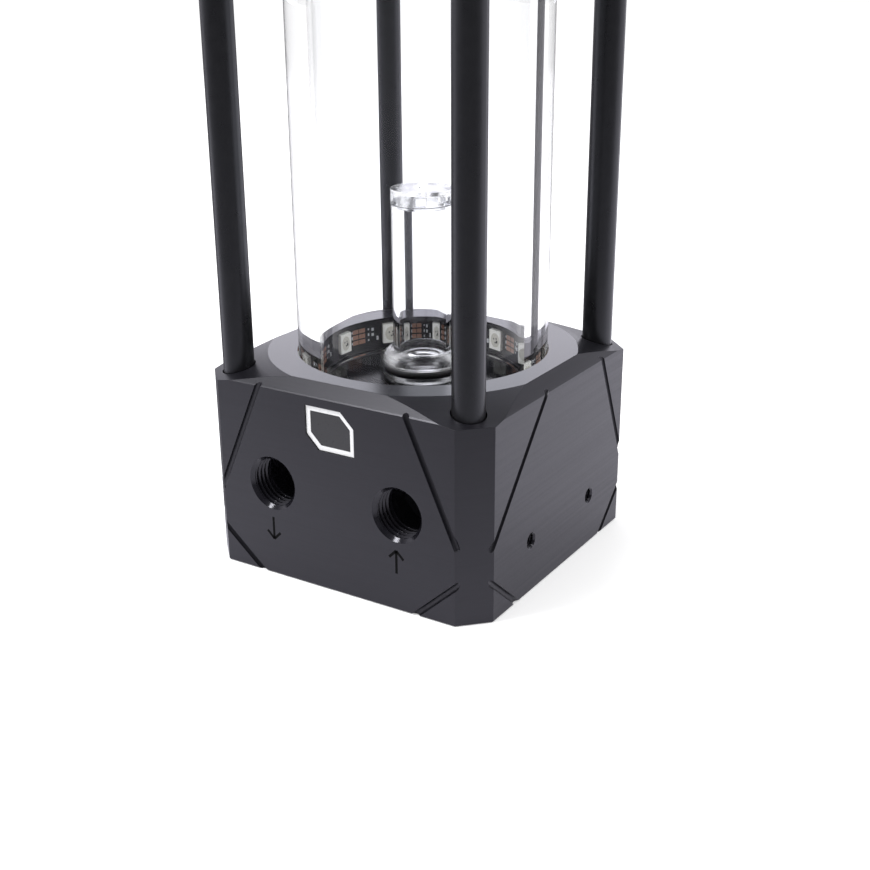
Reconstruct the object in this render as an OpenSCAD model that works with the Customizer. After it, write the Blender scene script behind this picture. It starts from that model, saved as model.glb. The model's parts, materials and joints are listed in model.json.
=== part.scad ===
// Coolant reservoir with a sunk circulation pump: a square base block, a glass tube held between
// the block and a top cap by four rods, a standpipe on the return port and a ring of lights.
// Millimetres. Z is up, the origin is the middle of the underside, the ports face -Y.

/* [Base block] */
// Width of the base across its flat sides
base_w = 76.7; // [74:0.1:82]
// Leg of the upright cut on each corner
corner_cut = 6.2; // [4:0.1:7]
// Height of the flat ring on top of the base
base_h = 49.5; // [49:0.1:54]
// How far the top edge of each side lies below the ring
edge_drop = 2.7; // [1.5:0.1:4]
// Width of the flat bevel along each top edge
bevel_w = 3.35; // [2:0.05:4.5]
// Outer radius of the flat ring
ring_r = 37.26; // [36:0.02:38]
// Fall of the cone outside the ring, in degrees
cone_fall = 14.6; // [8:0.1:20]
// Width of the grooves cut into the sides
groove_w = 1.5; // [1:0.1:3]
// Depth of those grooves, whose bottom is round
groove_deep = 0.9; // [0.8:0.05:1.5]
// Width of the broken edge under each flat bevel
edge_break = 0.4; // [0.1:0.05:0.8]

// Width of the badge pocket in the -Y face
badge_w = 13.2; // [8:0.1:20]
// Height of the badge pocket
badge_h = 10.3; // [6:0.1:12]
// Depth of the badge pocket
badge_deep = 1; // [0.5:0.1:2]

/* [Bottom plate] */
// Thickness of the plate, which is let into the block's underside
plate_t = 1.2; // [1:0.1:2]
// How far the plate's edge stands back from the block's sides
plate_inset = 1.3; // [1.2:0.05:1.4]
// Leg of the bottom plate's cut corners
plate_cut = 5; // [4.9:0.1:5.2]
// Broken edge around the block's underside
foot_break = 0.35; // [0.2:0.05:0.6]

/* [Tank] */
// Outside diameter of the glass tube
tube_d = 60; // [58:0.5:60]
// Wall of the glass tube
tube_wall = 5; // [4:0.5:5]
// Length of the glass tube
tube_l = 150; // [110:1:250]
// Depth that each end of the tube is let into its block
tube_sunk = 7.9; // [7.8:0.1:8.4]
// Height of the top cap, from its flat ring to its top face
cap_h = 22; // [21:0.5:30]

/* [Rods] */
// Diameter of the rods
rod_d = 7.3; // [6:0.1:7.8]
// Distance between neighbouring rods
rod_pitch = 62.7; // [62:0.1:63.4]
// Diameter of the holes that the rods stand in
rod_hole_d = 7.9; // [7.8:0.1:8.3]

/* [Ports] */
// Diameter of the ports, over the thread
port_d = 13.16; // [13.16]
// Distance between the two ports
port_pitch = 34.6; // [34:0.1:35.4]
// Height of the ports
port_z = 23.45; // [23:0.05:24]
// Depth of the ports
port_depth = 12; // [10:0.5:12]
// Diameter of the side holes, over the thread
side_hole_d = 4; // [3:0.5:5]
// Distance between the two side holes
side_hole_pitch = 30; // [24:1:32]
// Height of the side holes
side_hole_z = 13.05; // [10:0.05:16]

/* [Standpipe] */
// Outside diameter of the standpipe
riser_d = 14.4; // [13:0.1:15]
// Bore of the standpipe
riser_bore = 11.5; // [10:0.1:12]
// Diameter of the standpipe's collar
collar_d = 19.4; // [18:0.1:21]
// Height of the standpipe's top above the base
riser_top_z = 87.9; // [70:0.1:110]
// Number of windows in the standpipe's cap
riser_windows = 6; // [4:1:8]

/* [Lights] */
// Width of the light strip
strip_w = 8; // [8]
// Number of lights round the tube
led_count = 11; // [6:1:11]
// Angle from one light to the next
led_pitch = 32; // [30:1:32]
// Direction of the first light, seen from above
led_first = 173; // [0:1:359]

/* [Pump] */
// Number of blades on the impeller
blades = 7; // [5:1:9]
// Number of stator teeth
teeth = 9; // [6:3:12]

/* [Hidden] */
break_drop = edge_break / sqrt(2) * (1 - edge_drop / bevel_w);

$fn = 96;
eps = 0.02;
half_w = base_w / 2;
facet_at = (base_w - corner_cut) / sqrt(2);
plate_room = 0.1;
rod_at = rod_pitch / 2;
corners = [[-1, -1], [1, -1], [-1, 1], [1, 1]];

// Heights of the tank
floor_z = base_h - tube_sunk;
tube_top_z = floor_z + tube_l;
cap_z = tube_top_z - tube_sunk;
top_z = cap_z + cap_h;
tube_r = tube_d / 2;
bowl_r = tube_r + 0.25;
tube_in_r = tube_r - tube_wall;

// Tube seals, squeezed to a flat-sided section
seal_r = (tube_r + tube_in_r) / 2;
seal_d = 2.5;
seal_squeezed = 1.9;
seal_room = 0.05;

// Rods and their countersunk screws
rod_seat_z = 24;
rod_seat_top = top_z - 8.3;
rod_tap_depth = 14;
screw_r = 2;
screw_hole_r = 2.15;
screw_head_r = 3.9;
screw_head_h = screw_head_r - screw_r;
screw_sunk = 0.1;
socket_key = 2.5;

// Badge pocket: its middle and the leg of its two cut corners
badge_at = [-0.35, 39.6];
badge_cut = 3.45;

// Light strip and its channel behind the glass
strip_t = 0.35;
strip_r = 32.5;
channel_lip = 0.35;
strip_z = base_h - channel_lip - strip_w;
led_size = 5;
led_t = 1.6;
led_z = strip_z + (strip_w - led_size) / 2;

// Water ways in the block
floor_plate_t = 3;
floor_plate_r = tube_in_r - 0.4;
inlet_r = 3.25;
inlet_at = 15;
return_dir = atan2(-25.5, port_pitch / 2);
inlet_dir = return_dir + 180;
inlet_step = 28;
return_end = 20.3;
return_r = 3;
slot_w = 7;
slot_z = floor_z - floor_plate_t - 3.7;
riser_way_r = 4.5;
spigot_r = 5.65;
floor_screw_at = 21.3;
floor_screw_r = 1.25;

// Pump bay, opened from below
bay_r = 27.3;
bay_top = 19;
chamber_r = 21.5;
volute_t = 2.5;
volute_z = 26.4;
volute_seat = volute_z + volute_t;
suction_r = 18.5;
suction_top = 32.5;
outlet_r = 3.8;
ear_at = 30.5;
ear_r = 4;
volute_screw_at = 20;
volute_screw_r = 1;
pump_screw_r = 1.5;

// Pump pieces
can_r = 24;
can_wall = 1.5;
flange_t = 3;
well_r = 11.2;
well_wall = 1;
well_floor = 5.7;
cover_z = 3.1;
cover_t = 1.2;
board_t = 1;
shaft_r = 1.5;
bush_r = 3.6;
hub_r = 6;
magnet_r = 10.4;
rotor_z = 7.6;
disc_z = bay_top + 0.6;
disc_t = 1.4;
impeller_r = 16.8;
blade_h = 4.4;
blade_t = 1.3;

// Standpipe levels
socket_top = floor_z + 3;
riser_seal_h = 1.75;
collar_z = socket_top + riser_seal_h;
collar_h = 3.5;
riser_spigot_r = 7;
riser_cap_h = 3.6;
riser_cap_z = riser_top_z - riser_cap_h;

// Fill plug
plug_gap = 0.08;
plug_flange_r = 9.4;
plug_flange_h = 4.4;
plug_thread_l = 8.8;
plug_seal_r = 7.75;
plug_seal_w = 1.6;
plug_seal_h = 1.3;
grip_notches = 24;

// Cable outlet
outlet_x = 14;
outlet_w = 9;
outlet_h = 6;

// Flat outline of a square block with cut corners
module cut_square(width, cut) {
    h = width / 2;
    c = h - cut;
    polygon([[-c, -h], [c, -h], [h, -c], [h, c], [c, h], [-c, h], [-h, c], [-h, -c]]);
}

// Block with a flat ring, a cone outside it and a flat bevel along each side
module ringed_block(height, foot) {
    reach = half_w * 1.5;
    bevel_angle = atan2(edge_drop, bevel_w);
    difference() {
        intersection() {
            translate([0, 0, foot]) linear_extrude(height - foot) cut_square(base_w, corner_cut);
            rotate_extrude($fn = 180)
                polygon([[0, foot], [reach, foot], [reach, height - (reach - ring_r) * tan(cone_fall)],
                         [ring_r, height], [0, height]]);
        }
        for (a = [0 : 90 : 270])
            rotate([0, 0, a])
                translate([0, -half_w, height - edge_drop])
                    rotate([bevel_angle, 0, 0])
                        translate([-half_w, -10, 0]) cube([base_w, 30, 10]);
        for (a = [0 : 90 : 270])
            rotate([0, 0, a])
                translate([0, -half_w, height - edge_drop - break_drop])
                    rotate([45, 0, 0])
                        translate([-half_w, -10, 0]) cube([base_w, 30, 10]);
    }
}

// Ring of squeezed rubber: a round section with two flats
module squeezed_ring(radius, section, height) {
    rotate_extrude()
        translate([radius, 0])
            intersection() {
                circle(d = section, $fn = 32);
                square([section + 1, height], center = true);
            }
}

// Round-bottomed groove along the -Y face from one point to another, as [x, z]
module face_groove(from, to, past = 1.5) {
    run = to - from;
    along = norm(run);
    r = groove_w / 2;
    translate([from[0], -half_w, from[1]])
        rotate([0, -atan2(run[1], run[0]), 0])
            translate([-past, 0, 0])
                rotate([90, 0, 90])
                    linear_extrude(along + 2 * past)
                        polygon(concat(
                            [for (t = [0 : 15 : 180]) [groove_deep - r + r * sin(t), r * cos(t)]],
                            [[-1, -r], [-1, r]]));
}

// Screw with a countersunk head facing down and its shank going up
module sunk_screw(length) {
    difference() {
        union() {
            cylinder(h = screw_head_h, r1 = screw_head_r, r2 = screw_r, $fn = 48);
            cylinder(h = length, r = screw_r, $fn = 48);
        }
        translate([0, 0, -eps]) cylinder(h = 1.5, d = socket_key / cos(30), $fn = 6);
    }
}

// Countersunk hole to match, opening downwards
module sunk_hole(length) {
    translate([0, 0, -eps]) cylinder(h = screw_head_h + eps, r1 = screw_head_r + 0.12, r2 = screw_hole_r);
    translate([0, 0, -eps]) cylinder(h = length + eps, r = screw_hole_r, $fn = 48);
}

// Small cylinder-head screw, head down, shank up
module small_screw(r, head_r, head_h, length) {
    difference() {
        union() {
            cylinder(h = head_h, r = head_r, $fn = 40);
            cylinder(h = head_h + length, r = r, $fn = 40);
        }
        translate([0, 0, -eps]) cylinder(h = head_h * 0.6, r = head_r * 0.5, $fn = 6);
    }
}

// Inner space of one tube end: bore, flat seat and seal groove
module tube_seat() {
    cylinder(h = tube_sunk + 1, r = bowl_r, $fn = 180);
    translate([0, 0, -seal_squeezed])
        difference() {
            cylinder(h = seal_squeezed + eps, r = seal_r + seal_d / 2 + seal_room, $fn = 120);
            translate([0, 0, -1])
                cylinder(h = seal_squeezed + 2, r = seal_r - seal_d / 2 - seal_room, $fn = 120);
        }
}

// Way from the return port up to the middle of the floor
module return_way() {
    foot = [port_pitch / 2, -25.5, port_z];
    out = norm([foot[0], foot[1]]) - return_end;
    rise = slot_z + 2.8 - foot[2];
    translate(foot)
        rotate([0, atan2(out, rise), inlet_dir])
            translate([0, 0, -4]) cylinder(h = norm([out, rise]) + 4, r = return_r, $fn = 48);
    rotate([0, 0, return_dir]) {
        translate([0, -slot_w / 2, slot_z]) cube([return_end, slot_w, floor_z - slot_z - 1]);
        translate([return_end, 0, slot_z]) cylinder(h = floor_z - slot_z - 1, d = slot_w, $fn = 48);
    }
    translate([0, 0, slot_z]) cylinder(h = floor_z - slot_z - 1, d = slot_w + 4, $fn = 64);
}

// Threaded port on the -Y face, shown at its thread's outer diameter
module port(x) {
    translate([x, -half_w - 1, port_z])
        rotate([-90, 0, 0]) cylinder(h = port_depth + 1, d = port_d, $fn = 72);
}

// Grooves of one side; the long one runs on the sides turned to +X and -X
module side_grooves(long_groove) {
    edge = half_w - corner_cut;
    rim = base_h - edge_drop;
    face_groove(long_groove ? [-8.4, rim + 0.6] : [-20.2, rim], [-edge, long_groove ? 18.8 : 20.4]);
    face_groove([20, rim], [edge, 20]);
    face_groove([-edge, 9.3], [-21.2, 0]);
    face_groove([edge, 9.6], [21.7, 0]);
}

// Pocket for a badge in the -Y face, with two opposite corners cut
module badge_pocket() {
    w = badge_w / 2;
    h = badge_h / 2;
    translate([badge_at[0], -half_w + badge_deep, badge_at[1]])
        rotate([90, 0, 0])
            linear_extrude(badge_deep + 1)
                polygon([[-w, badge_cut - h], [badge_cut - w, -h], [w, -h], [w, h - badge_cut],
                         [w - badge_cut, h], [-w, h]]);
}

module base_block() {
    color([0.16, 0.16, 0.17])
    difference() {
        ringed_block(base_h, 0);
        // broken edge around the underside and the seat of the bottom plate
        for (a = [0 : 90 : 270], side = [[0, half_w], [45, facet_at]])
            rotate([0, 0, a + side[0]])
                translate([0, -side[1], foot_break])
                    rotate([-45, 0, 0]) translate([-half_w, -10, -10]) cube([base_w, 30, 10]);
        translate([0, 0, -1]) linear_extrude(plate_t + 1)
            cut_square(base_w - 2 * plate_inset + 2 * plate_room, plate_cut);
        // tank seat, light channel and floor
        translate([0, 0, floor_z]) tube_seat();
        translate([0, 0, strip_z]) cylinder(h = strip_w, r = strip_r, $fn = 180);
        translate([0, 0, floor_z - floor_plate_t])
            cylinder(h = floor_plate_t + 1, r = floor_plate_r + 0.1, $fn = 120);
        for (a = [inlet_dir, inlet_dir - 120, inlet_dir + 120])
            rotate([0, 0, a]) translate([floor_screw_at, 0, floor_z - floor_plate_t - 4])
                cylinder(h = 5, r = floor_screw_r + seal_room, $fn = 32);
        // ways for the coolant
        return_way();
        for (i = [-1 : 1])
            rotate([0, 0, inlet_dir + i * inlet_step]) translate([inlet_at, 0, suction_top - 1])
                cylinder(h = 10, r = inlet_r, $fn = 48);
        for (s = [-1, 1]) port(s * port_pitch / 2);
        translate([-port_pitch / 2, -half_w + port_depth - 1, port_z])
            rotate([-90, 0, 0]) cylinder(h = half_w - port_depth - 4, r = outlet_r, $fn = 48);
        // pump bay
        translate([0, 0, -1]) cylinder(h = bay_top + 1, r = bay_r, $fn = 120);
        translate([0, 0, 1]) cylinder(h = volute_seat - 1, r = chamber_r, $fn = 120);
        translate([0, 0, 1]) cylinder(h = suction_top - 1, r = suction_r, $fn = 120);
        for (a = [0 : 90 : 270])
            rotate([0, 0, a]) translate([ear_at, 0, -1]) {
                cylinder(h = bay_top + 1, r = ear_r, $fn = 48);
                cylinder(h = bay_top + 9, r = pump_screw_r + seal_room, $fn = 32);
            }
        for (a = [90, 200, 340])
            rotate([0, 0, a]) translate([volute_screw_at, 0, volute_seat - 1])
                cylinder(h = 5, r = volute_screw_r + seal_room, $fn = 32);
        // rods and their screws
        for (c = corners)
            translate([c[0] * rod_at, c[1] * rod_at, 0]) {
                translate([0, 0, rod_seat_z]) cylinder(h = base_h, d = rod_hole_d, $fn = 64);
                translate([0, 0, screw_sunk]) sunk_hole(rod_seat_z + 1);
            }
        // side holes for a bracket
        for (s = [-1, 1])
            translate([half_w - 8, s * side_hole_pitch / 2, side_hole_z])
                rotate([0, 90, 0]) cylinder(h = 9, d = side_hole_d, $fn = 48);
        // cable outlet and the lights' wire hole
        translate([outlet_x - outlet_w / 2, 15, plate_t]) cube([outlet_w, half_w, outlet_h]);
        translate([-3.4, 31.3, bay_top - 2]) cylinder(h = floor_z - bay_top + 3, r = 1.2, $fn = 24);
        for (a = [0 : 90 : 270]) rotate([0, 0, a]) side_grooves(a == 90 || a == 270);
        badge_pocket();
    }
}

module bottom_plate() {
    color([0.34, 0.34, 0.34])
    difference() {
        union() {
            linear_extrude(plate_t) cut_square(base_w - 2 * plate_inset, plate_cut);
            cylinder(h = plate_t + 1.8, r = bay_r - 0.1, $fn = 120);
        }
        for (c = corners)
            translate([c[0] * rod_at, c[1] * rod_at, screw_sunk]) {
                sunk_hole(plate_t + 1);
                translate([0, 0, -1]) cylinder(h = 1, r = screw_head_r + 0.12, $fn = 48);
            }
    }
}

module base_rod_screws() {
    color([0.2, 0.2, 0.21])
    for (c = corners)
        translate([c[0] * rod_at, c[1] * rod_at, screw_sunk])
            sunk_screw(rod_seat_z + rod_tap_depth - 4 - screw_sunk);
}

module cap_rod_screws() {
    color([0.2, 0.2, 0.21])
    for (c = corners)
        translate([c[0] * rod_at, c[1] * rod_at, top_z - screw_sunk])
            mirror([0, 0, 1]) sunk_screw(top_z - rod_seat_top + rod_tap_depth - 4 - screw_sunk);
}

// One rod, tapped at both ends
module rod(sx, sy) {
    color([0.2, 0.2, 0.21])
    translate([sx * rod_at, sy * rod_at, 0])
        difference() {
            translate([0, 0, rod_seat_z]) {
                cylinder(h = 0.5, d1 = rod_d - 1, d2 = rod_d, $fn = 64);
                translate([0, 0, 0.5]) cylinder(h = rod_seat_top - rod_seat_z - 1, d = rod_d, $fn = 64);
                translate([0, 0, rod_seat_top - rod_seat_z - 0.5])
                    cylinder(h = 0.5, d1 = rod_d, d2 = rod_d - 1, $fn = 64);
            }
            for (z = [rod_seat_z - 1, rod_seat_top - rod_tap_depth])
                translate([0, 0, z]) cylinder(h = rod_tap_depth + 1, r = screw_r + seal_room, $fn = 48);
        }
}

module glass_tube() {
    color([0.75, 0.82, 0.85, 0.35])
    translate([0, 0, floor_z])
        rotate_extrude($fn = 180)
            polygon([[tube_in_r, 0.4], [tube_in_r + 0.4, 0], [tube_r - 0.4, 0], [tube_r, 0.4],
                     [tube_r, tube_l - 0.4], [tube_r - 0.4, tube_l], [tube_in_r + 0.4, tube_l],
                     [tube_in_r, tube_l - 0.4]]);
}

module lower_tube_seal() {
    color([0.08, 0.08, 0.08])
    translate([0, 0, floor_z - seal_squeezed / 2]) squeezed_ring(seal_r, seal_d, seal_squeezed);
}

module upper_tube_seal() {
    color([0.08, 0.08, 0.08])
    translate([0, 0, tube_top_z + seal_squeezed / 2]) squeezed_ring(seal_r, seal_d, seal_squeezed);
}

module top_cap() {
    color([0.16, 0.16, 0.17])
    translate([0, 0, top_z]) mirror([0, 0, 1])
        difference() {
            ringed_block(cap_h, 0);
            translate([0, 0, cap_h - tube_sunk]) tube_seat();
            translate([0, 0, cap_h - tube_sunk - 3]) cylinder(h = 4, r = tube_in_r - 2, $fn = 120);
            translate([0, 0, -1]) cylinder(h = cap_h, d = port_d, $fn = 72);
            translate([0, 0, -eps]) cylinder(h = 0.4, d1 = port_d + 0.8, d2 = port_d, $fn = 72);
            for (c = corners)
                translate([c[0] * rod_at, c[1] * rod_at, 0]) {
                    translate([0, 0, top_z - rod_seat_top]) cylinder(h = cap_h, d = rod_hole_d, $fn = 64);
                    translate([0, 0, screw_sunk]) sunk_hole(10);
                    translate([0, 0, screw_sunk - 1]) cylinder(h = 1, r = screw_head_r + 0.12, $fn = 48);
                }
        }
}

module fill_plug() {
    color([0.3, 0.3, 0.31])
    difference() {
        union() {
            translate([0, 0, top_z - plug_thread_l])
                cylinder(h = plug_thread_l + 1, d = port_d - 2 * plug_gap, $fn = 72);
            translate([0, 0, top_z + 0.1]) cylinder(h = plug_flange_h - 0.8, r = plug_flange_r, $fn = 96);
            translate([0, 0, top_z + plug_flange_h - 0.7])
                cylinder(h = 0.7, r1 = plug_flange_r, r2 = plug_flange_r - 0.7, $fn = 96);
        }
        // groove for the seal
        translate([0, 0, top_z - 0.1])
            difference() {
                cylinder(h = plug_seal_h + 0.1, r = plug_seal_r + plug_seal_w / 2 + seal_room, $fn = 96);
                translate([0, 0, -1])
                    cylinder(h = plug_seal_h + 2, r = plug_seal_r - plug_seal_w / 2 - seal_room, $fn = 96);
            }
        // grip round the rim and a socket for a key
        for (i = [0 : grip_notches - 1])
            rotate([0, 0, i * 360 / grip_notches])
                translate([plug_flange_r + 0.25, 0, top_z + 1.2])
                    cylinder(h = plug_flange_h, r = 0.7, $fn = 24);
        translate([0, 0, top_z + plug_flange_h - 3]) cylinder(h = 4, d = 6 / cos(30), $fn = 6);
        translate([0, 0, top_z - plug_thread_l - 1]) cylinder(h = plug_thread_l - 2, r = 4, $fn = 48);
    }
}

module fill_plug_seal() {
    color([0.08, 0.08, 0.08])
    translate([0, 0, top_z + plug_seal_h / 2]) squeezed_ring(plug_seal_r, plug_seal_w, plug_seal_h - 0.05);
}

module floor_plate() {
    color([0.05, 0.05, 0.06])
    difference() {
        translate([0, 0, floor_z - floor_plate_t]) cylinder(h = floor_plate_t, r = floor_plate_r, $fn = 120);
        translate([0, 0, floor_z - floor_plate_t - 1])
            cylinder(h = floor_plate_t + 2, r = spigot_r + seal_room, $fn = 64);
        for (i = [-1 : 1])
            rotate([0, 0, inlet_dir + i * inlet_step])
                translate([inlet_at, 0, floor_z - floor_plate_t - 1])
                    cylinder(h = floor_plate_t + 2, r = inlet_r, $fn = 48);
        for (a = [inlet_dir, inlet_dir - 120, inlet_dir + 120])
            rotate([0, 0, a]) translate([floor_screw_at, 0, floor_z]) {
                translate([0, 0, -floor_plate_t - 1])
                    cylinder(h = floor_plate_t + 2, r = floor_screw_r + seal_room, $fn = 32);
                translate([0, 0, -1.45]) cylinder(h = 2, r = 2.4, $fn = 40);
            }
    }
}

module floor_screws() {
    color([0.72, 0.72, 0.74])
    for (a = [inlet_dir, inlet_dir - 120, inlet_dir + 120])
        rotate([0, 0, a]) translate([floor_screw_at, 0, floor_z - 0.1])
            mirror([0, 0, 1]) small_screw(floor_screw_r, 2.3, 1.35, 5);
}

module riser_socket() {
    color([0.85, 0.9, 0.92, 0.4])
    difference() {
        union() {
            translate([0, 0, floor_z]) cylinder(h = socket_top - floor_z, d = collar_d, $fn = 96);
            translate([0, 0, floor_z - floor_plate_t])
                cylinder(h = floor_plate_t + 1, r = spigot_r, $fn = 64);
        }
        translate([0, 0, floor_z - floor_plate_t - 1]) cylinder(h = 10, r = riser_way_r, $fn = 64);
        translate([0, 0, socket_top - 2]) cylinder(h = 3, r = riser_spigot_r + seal_room, $fn = 72);
    }
}

module riser_seal() {
    color([0.08, 0.08, 0.08])
    translate([0, 0, socket_top + riser_seal_h / 2]) squeezed_ring(8.7, 1.95, riser_seal_h);
}

module riser_tube() {
    r = riser_d / 2;
    shoulder = (collar_d - riser_d) / 2;
    color([0.85, 0.9, 0.92, 0.4])
    rotate_extrude()
        polygon(concat(
            [[riser_way_r, socket_top - 1.95], [riser_spigot_r, socket_top - 1.95],
             [riser_spigot_r, collar_z], [collar_d / 2, collar_z]],
            [for (a = [0 : 15 : 90])
                [r + shoulder * cos(a), collar_z + collar_h - shoulder + shoulder * sin(a)]],
            [[r, riser_cap_z], [riser_bore / 2, riser_cap_z],
             [riser_bore / 2, collar_z + 1.6], [riser_way_r, collar_z + 1.6]]));
}

module riser_cap() {
    window_w = 2.4;
    window_h = 1.9;
    spigot = riser_bore / 2 - seal_room;
    color([0.85, 0.9, 0.92, 0.4])
    difference() {
        union() {
            translate([0, 0, riser_cap_z]) cylinder(h = riser_cap_h, d = riser_d + 0.2, $fn = 96);
            translate([0, 0, riser_cap_z - 0.8]) cylinder(h = 1.8, r = spigot, $fn = 72);
        }
        translate([0, 0, riser_cap_z - 5]) cylinder(h = 7.4, r = riser_bore / 2 - 1.1, $fn = 72);
        for (i = [0 : riser_windows - 1])
            rotate([0, 0, i * 360 / riser_windows])
                translate([0, -window_w / 2, riser_cap_z + 0.3]) cube([riser_d, window_w, window_h]);
        translate([0, 0, riser_cap_z]) cylinder(h = 10, r = 0.9, $fn = 32);
    }
}

module led_strip() {
    color([0.06, 0.06, 0.07])
    translate([0, 0, strip_z])
        difference() {
            cylinder(h = strip_w, r = strip_r, $fn = 180);
            translate([0, 0, -1]) cylinder(h = strip_w + 2, r = strip_r - strip_t, $fn = 180);
        }
}

module led_packages() {
    color([0.96, 0.95, 0.9])
    for (i = [0 : led_count - 1])
        rotate([0, 0, led_first - i * led_pitch])
            intersection() {
                translate([strip_r - strip_t - led_t - 0.2, -led_size / 2, led_z])
                    cube([led_t + 0.5, led_size, led_size]);
                cylinder(h = base_h, r = strip_r - strip_t, $fn = 180);
            }
}

module volute_plate() {
    color([0.8, 0.8, 0.78])
    difference() {
        translate([0, 0, volute_z]) cylinder(h = volute_t, r = chamber_r - 0.08, $fn = 120);
        translate([0, 0, volute_z - 1]) cylinder(h = volute_t + 2, r = 6.5, $fn = 64);
        translate([0, 0, volute_seat - 1]) cylinder(h = 1 + eps, r1 = 6.5, r2 = 7.5, $fn = 64);
        for (a = [90, 200, 340])
            rotate([0, 0, a]) translate([volute_screw_at, 0, volute_z - eps]) {
                cylinder(h = volute_t + 1, r = volute_screw_r + seal_room, $fn = 32);
                cylinder(h = 1.2 + eps, r = 1.35, $fn = 32);
            }
    }
}

module volute_screws() {
    color([0.72, 0.72, 0.74])
    for (a = [90, 200, 340])
        rotate([0, 0, a]) translate([volute_screw_at, 0, volute_z + 0.2])
            small_screw(volute_screw_r, 1.3, 1, 5);
}

// One backward-curved blade as a short arc of constant thickness
module blade() {
    bow_r = 9.5;
    difference() {
        intersection() {
            translate([0, bow_r]) difference() {
                circle(r = bow_r + blade_t / 2, $fn = 64);
                circle(r = bow_r - blade_t / 2, $fn = 64);
            }
            translate([hub_r - 1, -2]) square([impeller_r, impeller_r]);
        }
        difference() {
            circle(r = 60);
            circle(r = impeller_r - 0.4);
        }
    }
}

module impeller() {
    color([0.12, 0.12, 0.13])
    difference() {
        union() {
            translate([0, 0, rotor_z]) cylinder(h = disc_z + disc_t - rotor_z, r = hub_r, $fn = 72);
            translate([0, 0, disc_z]) cylinder(h = disc_t, r = impeller_r, $fn = 96);
            translate([0, 0, disc_z + disc_t]) cylinder(h = 2.2, r1 = hub_r, r2 = bush_r + 0.6, $fn = 72);
            translate([0, 0, disc_z + disc_t - eps])
                for (i = [0 : blades - 1])
                    rotate([0, 0, i * 360 / blades]) linear_extrude(blade_h) blade();
        }
        translate([0, 0, rotor_z - 1]) cylinder(h = 30, r = bush_r, $fn = 64);
    }
}

module rotor_magnet() {
    color([0.3, 0.3, 0.32])
    translate([0, 0, rotor_z])
        difference() {
            cylinder(h = disc_z - rotor_z, r = magnet_r, $fn = 96);
            translate([0, 0, -1]) cylinder(h = disc_z, r = hub_r, $fn = 72);
        }
}

module bearing_bush() {
    color([0.22, 0.22, 0.22])
    translate([0, 0, rotor_z - 0.2])
        difference() {
            cylinder(h = disc_z + disc_t + 1.2 - rotor_z, r = bush_r, $fn = 64);
            translate([0, 0, -1]) cylinder(h = 30, r = shaft_r + 0.04, $fn = 48);
        }
}

module pump_shaft() {
    color([0.93, 0.93, 0.9])
    translate([0, 0, well_floor - 0.5]) {
        cylinder(h = disc_z + disc_t + 2.6 - well_floor, r = shaft_r, $fn = 48);
        translate([0, 0, disc_z + disc_t + 1.6 - well_floor]) cylinder(h = 1, r = 2.6, $fn = 48);
    }
}

module pump_housing() {
    can_z = cover_z + cover_t;
    stator_top = bay_top - flange_t - 1;
    color([0.1, 0.1, 0.11])
    difference() {
        union() {
            translate([0, 0, can_z]) cylinder(h = bay_top - can_z, r = can_r, $fn = 120);
            translate([0, 0, bay_top - flange_t]) cylinder(h = flange_t, r = bay_r - 0.2, $fn = 120);
            for (a = [0 : 90 : 270])
                rotate([0, 0, a]) translate([ear_at, 0, bay_top - flange_t])
                    cylinder(h = flange_t, r = ear_r - 0.2, $fn = 48);
        }
        // space for the stator, round the wet well
        difference() {
            translate([0, 0, can_z - 1])
                cylinder(h = stator_top - can_z + 1, r = can_r - can_wall, $fn = 120);
            cylinder(h = bay_top, r = well_r + well_wall, $fn = 96);
        }
        difference() {
            translate([0, 0, well_floor]) cylinder(h = bay_top, r = well_r, $fn = 96);
            cylinder(h = rotor_z - 0.4, r = bush_r - 0.4, $fn = 64);
        }
        translate([0, 0, well_floor - 0.5]) cylinder(h = 10, r = shaft_r, $fn = 48);
        // seal groove and screw holes
        translate([0, 0, bay_top - 1.5])
            difference() {
                cylinder(h = 2, r = 25.2, $fn = 120);
                translate([0, 0, -1]) cylinder(h = 4, r = 22.9, $fn = 120);
            }
        for (a = [0 : 90 : 270])
            rotate([0, 0, a]) translate([ear_at, 0, bay_top - flange_t - 1])
                cylinder(h = flange_t + 2, r = pump_screw_r + seal_room, $fn = 32);
    }
}

module pump_cover() {
    color([0.14, 0.14, 0.15])
    difference() {
        translate([0, 0, cover_z]) cylinder(h = cover_t, r = can_r, $fn = 120);
        for (i = [0 : 7])
            rotate([0, 0, i * 45 + 22.5])
                translate([17.5, 0, cover_z - 1]) cylinder(h = 4, r = 1.5, $fn = 24);
    }
}

module stator_core() {
    outer = can_r - can_wall - 0.1;
    color([0.5, 0.5, 0.52])
    translate([0, 0, 6.9])
        linear_extrude(5.2)
            difference() {
                union() {
                    difference() {
                        circle(r = outer);
                        circle(r = outer - 2.4);
                    }
                    for (i = [0 : teeth - 1])
                        rotate(i * 360 / teeth) {
                            translate([well_r + well_wall + 0.6, -1.1]) square([8, 2.2]);
                            translate([well_r + well_wall + 0.2, -3]) square([1.4, 6]);
                        }
                }
                circle(r = well_r + well_wall + 0.1);
            }
}

// Turns of wire round each tooth, as one block with a window
module stator_coils() {
    color([0.72, 0.4, 0.2])
    for (i = [0 : teeth - 1])
        rotate([0, 0, i * 360 / teeth])
            difference() {
                translate([14.2, -2.4, cover_z + cover_t + board_t]) cube([5, 4.8, 8.4]);
                translate([13, -1.1, 6.9]) cube([8, 2.2, 5.2]);
            }
}

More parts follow.
